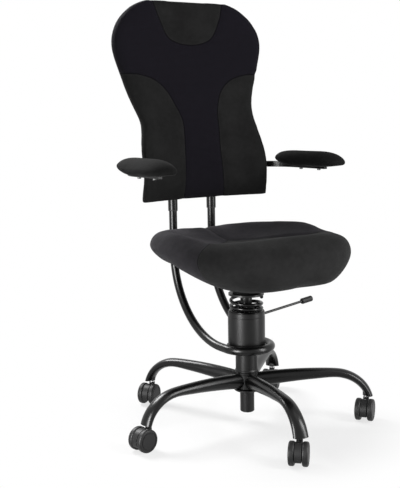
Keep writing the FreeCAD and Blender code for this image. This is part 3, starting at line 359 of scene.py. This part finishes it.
def seam_masks(shader):
    """A mask that is 1 where the seam's distance is above zero, and one that is 1 in the fold itself.

    The fold mask dents the bump and also darkens the colour there, which is painted shade.
    """
    away = shader.node("ShaderNodeAttribute", {"attribute_name": "seam"}, output="Fac")
    fold = 1 - away.math("ABSOLUTE").step(FOLD_CORE, FOLD_HALF_WIDTH)
    return away.step(-PANEL_EDGE, PANEL_EDGE), fold


def microfibre(name, front_tone, rear_painted_sheen_tone, sheen):
    """Brushed cover, painted lighter and more violet behind the seam (painted sheen), darker in the fold."""
    shader = Shader(name, Sheen_Weight=sheen, **CLOTH)
    behind, fold = seam_masks(shader)
    front = nap_colour(shader, front_tone)
    # Rear panels: a lighter, violet copy of the cloth, which is painted sheen
    rear = nap_colour(shader, rear_painted_sheen_tone, painted_sheen_cast)
    cloth = shader.mix(behind, front, rear)
    # The fold is painted darker: painted shade in the seam's crease
    shader.feed("Base Color", shader.mix(fold, cloth, grey(front_tone * FOLD_PAINTED_SHADE)))
    shader.bump(nap_height(shader) - fold * FOLD_DEPTH, WEAVE_BUMP)
    return shader.material


def mesh_holes(shader):
    """Rows of small holes, every second row moved by half a hole: 1 in a hole, 0 on the yarn."""
    x, _, z = shader.axes()
    row = z / MESH_ROW
    shift = (row.math("FLOOR") * 0.5).fraction()
    across = (x / MESH_PITCH + shift).fraction() - 0.5
    up = row.fraction() - 0.5
    away = (across * across + up * up).math("SQRT")
    return 1 - away.step(HOLE_CORE, HOLE_RIM)


def two_weaves(name):
    """Backrest cover: microfibre where the seam's distance is above zero, mesh where it is below."""
    shader = Shader(name, Sheen_Weight=BACK_SHEEN, **CLOTH)
    brushed, fold = seam_masks(shader)
    holes = mesh_holes(shader)
    # Holes take the dark colour: partly the layer beneath, partly painted shade in them
    yarn = shader.mix(holes, YARN, HOLE_AND_FOLD_PAINTED_SHADE)
    cloth = shader.mix(brushed, yarn, nap_colour(shader, NAP_TONE))
    # The seam's fold takes the same dark colour: painted shade in the crease
    shader.feed("Base Color", shader.mix(fold, cloth, HOLE_AND_FOLD_PAINTED_SHADE))
    knit = (1 - holes) * KNIT_HEIGHT * (1 - brushed)
    shader.bump(nap_height(shader) * brushed + knit - fold * FOLD_DEPTH, WEAVE_BUMP)
    return shader.material


# The seat's rear tone is higher than its front tone: painted sheen on the rear panels
FINISHES["seat_fabric"] = microfibre("seat_fabric", front_tone=0.021, rear_painted_sheen_tone=0.029, sheen=0.05)
FINISHES["pad_fabric"] = microfibre("pad_fabric", front_tone=0.0075, rear_painted_sheen_tone=0.0075, sheen=0.015)
FINISHES["back_fabric"] = two_weaves("back_fabric")
THREAD = plastic("thread", tone=0.008, roughness=0.8, grain=0.00002)
print("finishes", len(FINISHES))

# %% [markdown]
# ## Padding
# Foam under cloth is never a clean solid. Each pad starts as a copy of its CAD solid, is remeshed into
# even little quads, rounded, and set in or out by about a millimetre to keep its size. Then it is blown
# up as a cloth balloon. Of that, only the swelling straight out of the surface is kept, limited and
# evened out, because the balloon also wrinkles and moulded foam doesn't.

# %% Upholstery helpers
MERGE_DISTANCE = 0.00002
SMOOTHING = 0.5
SETTLE_ROUNDS = 3
CLOTH_FRAMES = 20
EASE_ROUNDS = 16


def points_of(mesh):
    co = np.empty(len(mesh.vertices) * 3)
    mesh.vertices.foreach_get("co", co)
    return co.reshape(-1, 3)


def set_points(mesh, co):
    mesh.vertices.foreach_set("co", np.asarray(co).ravel())
    mesh.update()


def normals_of(mesh):
    no = np.empty(len(mesh.vertices) * 3)
    mesh.vertex_normals.foreach_get("vector", no)
    return no.reshape(-1, 3)


def bake(piece):
    """Turn a piece's modifiers into its plain mesh."""
    evaluated = piece.evaluated_get(bpy.context.evaluated_depsgraph_get())
    mesh = bpy.data.meshes.new_from_object(evaluated)
    piece.modifiers.clear()
    piece.data = mesh


def copy_of(node, name):
    """A merged copy of a CAD node's mesh as a new piece."""
    mesh = nodes[node].data.copy()
    mesh.name = name
    work = bmesh.new()
    work.from_mesh(mesh)
    bmesh.ops.remove_doubles(work, verts=work.verts, dist=MERGE_DISTANCE)
    work.to_mesh(mesh)
    work.free()
    piece = bpy.data.objects.new(name, mesh)
    scene.collection.objects.link(piece)
    return piece


def eased(mesh, value):
    """A value on the points, averaged with its neighbours' several times."""
    ends = np.empty(len(mesh.edges) * 2, dtype=np.int32)
    mesh.edges.foreach_get("vertices", ends)
    one, two = ends.reshape(-1, 2).T
    size = len(value)
    count = np.maximum(np.bincount(ends, minlength=size), 1)
    for _ in range(EASE_ROUNDS):
        total = np.bincount(one, value[two], size) + np.bincount(two, value[one], size)
        value = (value + total / count) / 2
    return value


def inflate(piece, start, pressure, most):
    """Blow the piece up as a cloth balloon; no point moves further than most or apart from the rest."""
    cloth = piece.modifiers.new("cloth", "CLOTH")
    cloth.settings.use_pressure = True
    cloth.settings.uniform_pressure_force = pressure
    cloth.settings.effector_weights.gravity = 0
    for step in range(1, CLOTH_FRAMES + 1):
        scene.frame_set(step)
    evaluated = piece.evaluated_get(bpy.context.evaluated_depsgraph_get())
    outwards = normals_of(piece.data)
    moved = ((points_of(evaluated.data) - start) * outwards).sum(axis=1)
    piece.modifiers.clear()
    scene.frame_set(1)
    swell = eased(piece.data, np.clip(moved, -most, most))
    set_points(piece.data, start + outwards * swell[:, None])


def add_smooth(piece, name, rounds):
    smooth = piece.modifiers.new(name, "SMOOTH")
    smooth.factor = SMOOTHING
    smooth.iterations = rounds


def upholster(node, name, voxel, rounding, pressure, most, inset):
    """Padded piece in the space of a CAD solid."""
    piece = copy_of(node, name)
    remesh = piece.modifiers.new("even", "REMESH")
    remesh.mode = "VOXEL"
    remesh.voxel_size = voxel
    add_smooth(piece, "round", rounding)
    bake(piece)
    start = points_of(piece.data) - normals_of(piece.data) * inset
    set_points(piece.data, start)
    inflate(piece, start, pressure, most)
    add_smooth(piece, "settle", SETTLE_ROUNDS)
    finer = piece.modifiers.new("finer", "SUBSURF")
    finer.levels = 1
    finer.render_levels = 1
    bake(piece)
    piece.data.shade_smooth()
    return piece


# %% [markdown]
# ## Seams
# A seam is a flat curve: in plan for the seat, from the front for the backrest. Its distance to each
# point of the cover is stored on the cover, signed by the side of the curve, and pulls the foam into a
# valley. Stitches run a little beside the curve. They are all alike, so Geometry Nodes lays one small
# thread at each step of their line.

# %% Seam helpers
STITCH_PITCH = 0.0052
STITCH_SIZE = (0.0017, 0.00042, 0.00042)
STITCH_OFFSET = 0.0032
THREAD_SUBDIVISIONS = 2
THREAD_FACES = 80
CURVE_STEPS = 24
POINTS_AT_ONCE = 4000
FACING_GAIN = 2


def smooth_line(points):
    """Points of a smooth curve through the given ones."""
    given = np.asarray(points, float)
    ends = np.vstack([2 * given[0] - given[1], given, 2 * given[-1] - given[-2]])
    share = np.linspace(0, 1, CURVE_STEPS, endpoint=False)[:, None]
    runs = []
    for a, b, c, d in zip(ends, ends[1:], ends[2:], ends[3:]):
        curve = 2 * b + (c - a) * share + (2 * a - 5 * b + 4 * c - d) * share ** 2
        runs.append((curve + (3 * b - a - 3 * c + d) * share ** 3) / 2)
    return np.vstack(runs + [given[-1:]])


def sideways(line):
    """Unit vectors to the left of a flat line."""
    along = np.gradient(line, axis=0)
    left = np.stack([-along[:, 1], along[:, 0]], axis=1)
    return left / np.linalg.norm(left, axis=1, keepdims=True)


def distance_to(points, line):
    """Distance of flat points to a flat line, above zero on the line's left."""
    left = sideways(line)
    parts = []
    for begin in range(0, len(points), POINTS_AT_ONCE):
        part = points[begin:begin + POINTS_AT_ONCE]
        apart = part[:, None, :] - line[None, :, :]
        square = (apart ** 2).sum(axis=2)
        nearest = square.argmin(axis=1)
        rows = np.arange(len(part))
        side = (apart[rows, nearest] * left[nearest]).sum(axis=1)
        parts.append(np.sqrt(square[rows, nearest]) * np.where(side < 0, -1, 1))
    return np.concatenate(parts)


def sew(piece, distance, depth, reach, facing):
    """Store the seam's distance on a cover and pull its foam in along the seam, where facing allows."""
    store = piece.data.attributes.new("seam", "FLOAT", "POINT")
    store.data.foreach_set("value", distance.astype(np.float32))
    valley = depth * np.exp(-((distance / reach) ** 2)) * np.clip(facing, 0, 1)
    set_points(piece.data, points_of(piece.data) - normals_of(piece.data) * valley[:, None])


def laid_on(piece, line, lift, way):
    """Points of a flat line dropped on a cover's surface along a direction."""
    tree = BVHTree.FromObject(piece, bpy.context.evaluated_depsgraph_get())
    found = []
    for point in line:
        hit = tree.ray_cast(lift(*point), way)[0]
        if hit is not None:
            found.append(hit)
    return found


def stitch_nodes():
    """Node group: one thread at every step of a run of edges."""
    tree = bpy.data.node_groups.new("stitches", "GeometryNodeTree")
    tree.interface.new_socket("Geometry", in_out="INPUT", socket_type="NodeSocketGeometry")
    pitch = tree.interface.new_socket("Pitch", in_out="INPUT", socket_type="NodeSocketFloat")
    tree.interface.new_socket("Geometry", in_out="OUTPUT", socket_type="NodeSocketGeometry")

    def add(kind, links=None, **values):
        node = tree.nodes.new(kind)
        for socket, source in (links or {}).items():
            tree.links.new(source, node.inputs[socket])
        for socket, value in values.items():
            node.inputs[socket].default_value = value
        return node

    given = add("NodeGroupInput")
    curve = add("GeometryNodeMeshToCurve", {"Mesh": given.outputs["Geometry"]})
    steps = tree.nodes.new("GeometryNodeResampleCurve")
    steps.mode = "LENGTH"
    tree.links.new(curve.outputs["Curve"], steps.inputs["Curve"])
    tree.links.new(given.outputs["Pitch"], steps.inputs["Length"])
    along = add("GeometryNodeInputTangent")
    turn = tree.nodes.new("FunctionNodeAlignRotationToVector")
    turn.axis = "X"
    tree.links.new(along.outputs["Tangent"], turn.inputs["Vector"])
    thread = add("GeometryNodeMeshIcoSphere", Radius=1.0, Subdivisions=THREAD_SUBDIVISIONS)
    sources = {
        "Points": steps.outputs["Curve"],
        "Instance": thread.outputs["Mesh"],
        "Rotation": turn.outputs["Rotation"],
    }
    laid = add("GeometryNodeInstanceOnPoints", sources, Scale=STITCH_SIZE)
    plain = add("GeometryNodeRealizeInstances", {"Geometry": laid.outputs["Instances"]})
    painted = add("GeometryNodeSetMaterial", {"Geometry": plain.outputs["Geometry"]}, Material=THREAD)
    add("NodeGroupOutput", {"Geometry": painted.outputs["Geometry"]})
    return tree, pitch.identifier


stitches, stitch_pitch = stitch_nodes()


def stitch(name, runs):
    """One mesh of stitches along several runs of points."""
    points = []
    edges = []
    for run in runs:
        edges += [(len(points) + i, len(points) + i + 1) for i in range(len(run) - 1)]
        points += run
    mesh = bpy.data.meshes.new(name)
    mesh.from_pydata(points, edges, [])
    piece = bpy.data.objects.new(name, mesh)
    scene.collection.objects.link(piece)
    lay = piece.modifiers.new("lay", "NODES")
    lay.node_group = stitches
    lay[stitch_pitch] = STITCH_PITCH
    bake(piece)
    print(name, len(piece.data.polygons) // THREAD_FACES)
    return piece


# %% [markdown]
# ## Seat
# The seat is one deep moulded foam. Its cover has a front panel and two rear ones, so the seam is a Y
# turned round: a short line from the rear edge to the hollow, where it parts to both sides, climbs over
# the crests beside the thighs and drops down the outer walls. The valley along it fades towards the
# crests, so that their outline stays full, and the underside has no seam at all.

# %% Seat
SEAT_MIDDLE_SEAM = ((0.0, 0.212), (0.0, 0.15), (0.0, 0.078))
SEAT_SIDE_SEAM = (
    (0.0, 0.078), (0.045, 0.030), (0.095, -0.030), (0.145, -0.085), (0.19, -0.112), (0.25, -0.118),
)
CREST_X = 0.17
SEAM_FADE = 0.07
UNDERSIDE = -0.5
FAR_FROM_SEAM = 1.0
BARE_START = 6
BARE_END = 10
ABOVE_SEAT = 1.0

seat = upholster(
    "seat_cushion", "seat_upholstery", voxel=0.005, rounding=50, pressure=3.0, most=0.003, inset=-0.0015,
)
middle_seam = smooth_line(SEAT_MIDDLE_SEAM)
side_seam = smooth_line(SEAT_SIDE_SEAM)
plan = points_of(seat.data)[:, :2]
folded = np.stack([np.abs(plan[:, 0]), plan[:, 1]], axis=1)
behind = distance_to(folded, side_seam)
to_seam = np.minimum(np.abs(behind), np.abs(distance_to(plan, middle_seam)))
upwards = normals_of(seat.data)[:, 2]
to_seam = np.where(upwards > UNDERSIDE, to_seam, FAR_FROM_SEAM) * np.where(behind > 0, 1, -1)
fade = np.clip((CREST_X - folded[:, 0]) / SEAM_FADE, 0, 1)
sew(seat, to_seam, depth=0.003, reach=0.010, facing=upwards * FACING_GAIN * fade)
dress(seat, FINISHES["seat_fabric"])


def seat_run(line, mirror):
    """A line of stitches seen from above, without its first and last points."""
    sewn = (line * np.array([mirror, 1.0]))[BARE_START:-BARE_END]
    return laid_on(seat, sewn, lambda x, y: Vector((x, y, ABOVE_SEAT)), Vector((0, 0, -1)))


seat_runs = []
for mirror in (-1, 1):
    for offset in (-STITCH_OFFSET, STITCH_OFFSET):
        seat_runs.append(seat_run(side_seam + sideways(side_seam) * offset, mirror))
    seat_runs.append(seat_run(middle_seam + sideways(middle_seam) * STITCH_OFFSET, mirror))
seat_stitches = stitch("seat_stitches", seat_runs)
print("seat points", len(seat.data.vertices))

# %% [markdown]
# ## Backrest
# The backrest cover is sewn from four panels: a dark mesh T in the middle and shoulders, a brushed
# headrest and two brushed wings that hold the waist. A point is on brushed cloth if it lies inside a wing
# or inside the headrest, so the larger of the two signed distances says which cloth it is. The foam is
# pulled in only on the front and the edges, because the rear lies on the board.

# %% Backrest
WING_SEAM = (
    (0.240, 0.869), (0.200, 0.869), (0.162, 0.868), (0.115, 0.854), (0.082, 0.825), (0.065, 0.790),
    (0.055, 0.760), (0.053, 0.727), (0.054, 0.665), (0.060, 0.565), (0.062, 0.530),
)
HEAD_SEAM = (
    (-0.114, 1.085), (-0.105, 1.052), (-0.090, 1.006), (-0.061, 0.958), (0.0, 0.943), (0.061, 0.958),
    (0.090, 1.006), (0.105, 1.052), (0.114, 1.085),
)
BEFORE_BACKREST = -0.5

back = upholster(
    "back_cushion", "back_upholstery", voxel=0.005, rounding=8, pressure=4.0, most=0.003, inset=-0.001,
)
wing_seam = smooth_line(WING_SEAM)
head_seam = smooth_line(HEAD_SEAM)
front = points_of(back.data)[:, [0, 2]]
folded = np.stack([np.abs(front[:, 0]), front[:, 1]], axis=1)
to_seam = np.maximum(distance_to(folded, wing_seam), distance_to(front, head_seam))
sew(back, to_seam, depth=0.002, reach=0.008, facing=0.5 - FACING_GAIN * normals_of(back.data)[:, 1])
dress(back, FINISHES["back_fabric"])


def back_run(line):
    """A line of stitches seen from the front."""
    return laid_on(back, line, lambda x, z: Vector((x, BEFORE_BACKREST, z)), Vector((0, 1, 0)))


beside = wing_seam + sideways(wing_seam) * STITCH_OFFSET
back_runs = [back_run(beside), back_run(beside * np.array([-1.0, 1.0]))]
back_runs.append(back_run(head_seam + sideways(head_seam) * STITCH_OFFSET))
back_stitches = stitch("back_stitches", back_runs)
print("back points", len(back.data.vertices))

# %% [markdown]
# ## Arm pads
# Two oval pads sit on plastic bases and hang down a little round them. Their cover shows no seam, so
# every point says that the seam is far away, and the cloth is the plain front panel's.

# %% Arm pads
pads = {}
for side in ("left", "right"):
    pad = upholster(
        "arm_pad_" + side, "arm_pad_cover_" + side,
        voxel=0.003, rounding=6, pressure=2.0, most=0.002, inset=0.001,
    )
    no_seam = np.full(len(pad.data.vertices), -FAR_FROM_SEAM)
    sew(pad, no_seam, depth=0.0, reach=1.0, facing=no_seam)
    dress(pad, FINISHES["pad_fabric"])
    pads[side] = pad
    print(pad.name, "points", len(pad.data.vertices))

# %% [markdown]
# ## Coil spring
# The seat tips on a coil spring, and a spring gives: its foot stays in the housing while its top follows
# the plate under the seat. The tilt is made of two hinges, one fore and aft, one sideways, with a small
# cross between them, and a bend can span only one hinge. So the wire is cut level at half height into a
# lower and an upper half, each closed at the cut.

# %% Coil spring
SPRING_WIRE = 0.0085
SPRING_CORNER = math.radians(40)
CUT_TOLERANCE = 0.000001

spring_low, spring_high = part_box("coil_spring")
spring_middle = (spring_low.z + spring_high.z) / 2


def half_spring(name, lower):
    """One half of the spring, cut level at its middle and closed there."""
    piece = copy_of("coil_spring", name)
    work = bmesh.new()
    work.from_mesh(piece.data)
    whole = work.verts[:] + work.edges[:] + work.faces[:]
    level = {"plane_co": (0, 0, spring_middle), "plane_no": (0, 0, 1), "dist": CUT_TOLERANCE}
    cut = bmesh.ops.bisect_plane(work, geom=whole, clear_outer=lower, clear_inner=not lower, **level)
    rim = [item for item in cut["geom_cut"] if isinstance(item, bmesh.types.BMEdge)]
    bmesh.ops.edgeloop_fill(work, edges=rim)
    bmesh.ops.triangulate(work, faces=work.faces[:])
    bmesh.ops.recalc_face_normals(work, faces=work.faces[:])
    work.verts.index_update()
    points = [vert.co.copy() for vert in work.verts]
    faces = [[vert.index for vert in face.verts] for face in work.faces]
    open_edges = sum(1 for edge in work.edges if not edge.is_manifold)
    work.free()
    mesh = bpy.data.meshes.new(name)
    mesh.from_pydata(points, [], faces)
    mesh.shade_smooth()
    mesh.set_sharp_from_angle(angle=SPRING_CORNER)
    piece.data = mesh
    dress(piece, FINISHES[slot_of["coil_spring"]])
    print(name, "faces", len(faces), "open edges", open_edges)
    return piece


spring_foot = half_spring("spring_foot", True)
spring_top = half_spring("spring_top", False)

# %% [markdown]
# ## Studio
# The portrait is high key: white floor, white backdrop, and a black chair drawn by what it mirrors. The
# key lamp stands behind the chair on the left, so the backrest and the near side of the seat stay dark
# while top edges of legs and tubes flash. Two strips near the floor are only mirrored, as streaks along
# column and tubes. A fill from the front right, a faint one from above and a bounce near the floor open
# the shadows. Camera and mirror rays see floor and backdrop as plain white; for all other rays they are
# quiet, so that the cloth isn't washed out. Near the chair the floor is a little less white than further
# out, so that it keeps the shadow.

# %% Floor, world and lamps
FLOOR_SIZE = 12.0
FLOOR_TONE = 0.8
FLOOR_ROUGHNESS = 0.6
FLOOR_LIFT = 0.72
SHADOW_REACH = 0.27
WHITE_FROM = 0.47
SKY_LEVEL = 0.12


def seen_or_mirrored(shader):
    """1 for camera, mirror and glass rays, 0 for the rest."""
    path = shader.node("ShaderNodeLightPath").socket.node.outputs
    direct = Wire(shader, path["Is Camera Ray"]).math("MAXIMUM", Wire(shader, path["Is Glossy Ray"]))
    return direct.math("MAXIMUM", Wire(shader, path["Is Transmission Ray"]))


def make_floor():
    mesh = bpy.data.meshes.new("floor")
    half = FLOOR_SIZE / 2
    corners = [(-half, -half, 0), (half, -half, 0), (half, half, 0), (-half, half, 0)]
    mesh.from_pydata(corners, [], [(0, 1, 2, 3)])
    floor = bpy.data.objects.new("floor", mesh)
    scene.collection.objects.link(floor)
    shader = Shader("floor", Base_Color=grey(FLOOR_TONE), Roughness=FLOOR_ROUGHNESS)
    x, y, _ = shader.axes()
    far = (x * x + y * y).math("SQRT").step(SHADOW_REACH, WHITE_FROM)
    lift = (far * (1 - FLOOR_LIFT) + FLOOR_LIFT) * seen_or_mirrored(shader)
    white = shader.node("ShaderNodeEmission", sockets={"Color": grey(1.0), "Strength": 1.0})
    lit = Wire(shader, shader.surface.outputs[0])
    blend = shader.node("ShaderNodeMixShader", sockets={0: lift, 1: lit, 2: white})
    output = shader.tree.nodes["Material Output"]
    shader.tree.links.new(blend.socket, output.inputs["Surface"])
    dress(floor, shader.material)


class Sky(Shader):
    """The world's nodes, with the same helpers as a material's."""

    def __init__(self, name):
        self.world = bpy.data.worlds.new(name)
        self.world.use_nodes = True
        self.tree = self.world.node_tree
        self.surface = self.tree.nodes["Background"]
        self.surface.inputs["Color"].default_value = grey(1.0)


def make_world():
    sky = Sky("studio")
    sky.feed("Strength", seen_or_mirrored(sky) * (1 - SKY_LEVEL) + SKY_LEVEL)
    scene.world = sky.world


def make_lamp(name, place, aim, size, power, mirrored=True, lights=True):
    """A flat lamp that the camera doesn't see; it may be kept out of mirrors, or only be mirrored."""
    data = bpy.data.lights.new(name, "AREA")
    data.shape = "RECTANGLE"
    data.size, data.size_y = size
    data.energy = power
    lamp = bpy.data.objects.new(name, data)
    lamp.location = place
    lamp.rotation_euler = (Vector(aim) - Vector(place)).to_track_quat("-Z", "Y").to_euler()
    lamp.visible_camera = False
    lamp.visible_glossy = mirrored
    lamp.visible_diffuse = lights
    scene.collection.objects.link(lamp)


make_floor()
make_world()
make_lamp("key", place=(-0.6, 1.9, 2.3), aim=(0, 0, 0.5), size=(1.0, 1.2), power=105)
make_lamp("left_strip", place=(-1.3, -0.35, 0.4), aim=(0, 0, 0.3), size=(0.5, 0.8), power=42, lights=False)
make_lamp("right_strip", place=(0.68, -1.11, 0.4), aim=(0, 0, 0.3), size=(0.35, 0.8), power=13, lights=False)
make_lamp("top", place=(0.3, -1.0, 2.6), aim=(0, 0, 0.6), size=(1.0, 1.0), power=4)
make_lamp("fill", place=(1.3, -1.9, 1.8), aim=(0, 0, 0.5), size=(0.8, 1.2), power=46)
make_lamp(
    "bounce", place=(-0.45, -0.75, 0.02), aim=(-0.1, -0.1, 0.6), size=(1.2, 0.5), power=3.2, mirrored=False,
)
scene.view_settings.view_transform = "Standard"
print("lamps", len(bpy.data.lights))

# %% [markdown]
# ## Hand over
# Each soft piece takes the place of its plain solid and rides on that solid's body. The stitches ride
# with their cover. The two halves of the spring are baked in place, and the plain spring is hidden.

# %% Ride and finish
PADDED = (
    (seat, "seat", "seat_cushion", 0.8),
    (back, "backrest", "back_cushion", 0.8),
    (pads["left"], "backrest", "arm_pad_left", 0.9),
    (pads["right"], "backrest", "arm_pad_right", 0.9),
)
STITCHED = (
    (seat_stitches, "seat", "seat_cushion"),
    (back_stitches, "backrest", "back_cushion"),
)
BENT = (
    (spring_foot, "carrier", "cross", spring_low.z + SPRING_WIRE / 2, spring_middle),
    (spring_top, "cross", "seat", spring_middle, spring_high.z - SPRING_WIRE / 2),
)
for piece, body, node, fill in PADDED:
    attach(piece, body)
    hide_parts(node)
for piece, body, node in STITCHED:
    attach(piece, body)
for piece, below, above, start, end in BENT:
    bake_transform(piece)
    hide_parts("coil_spring")
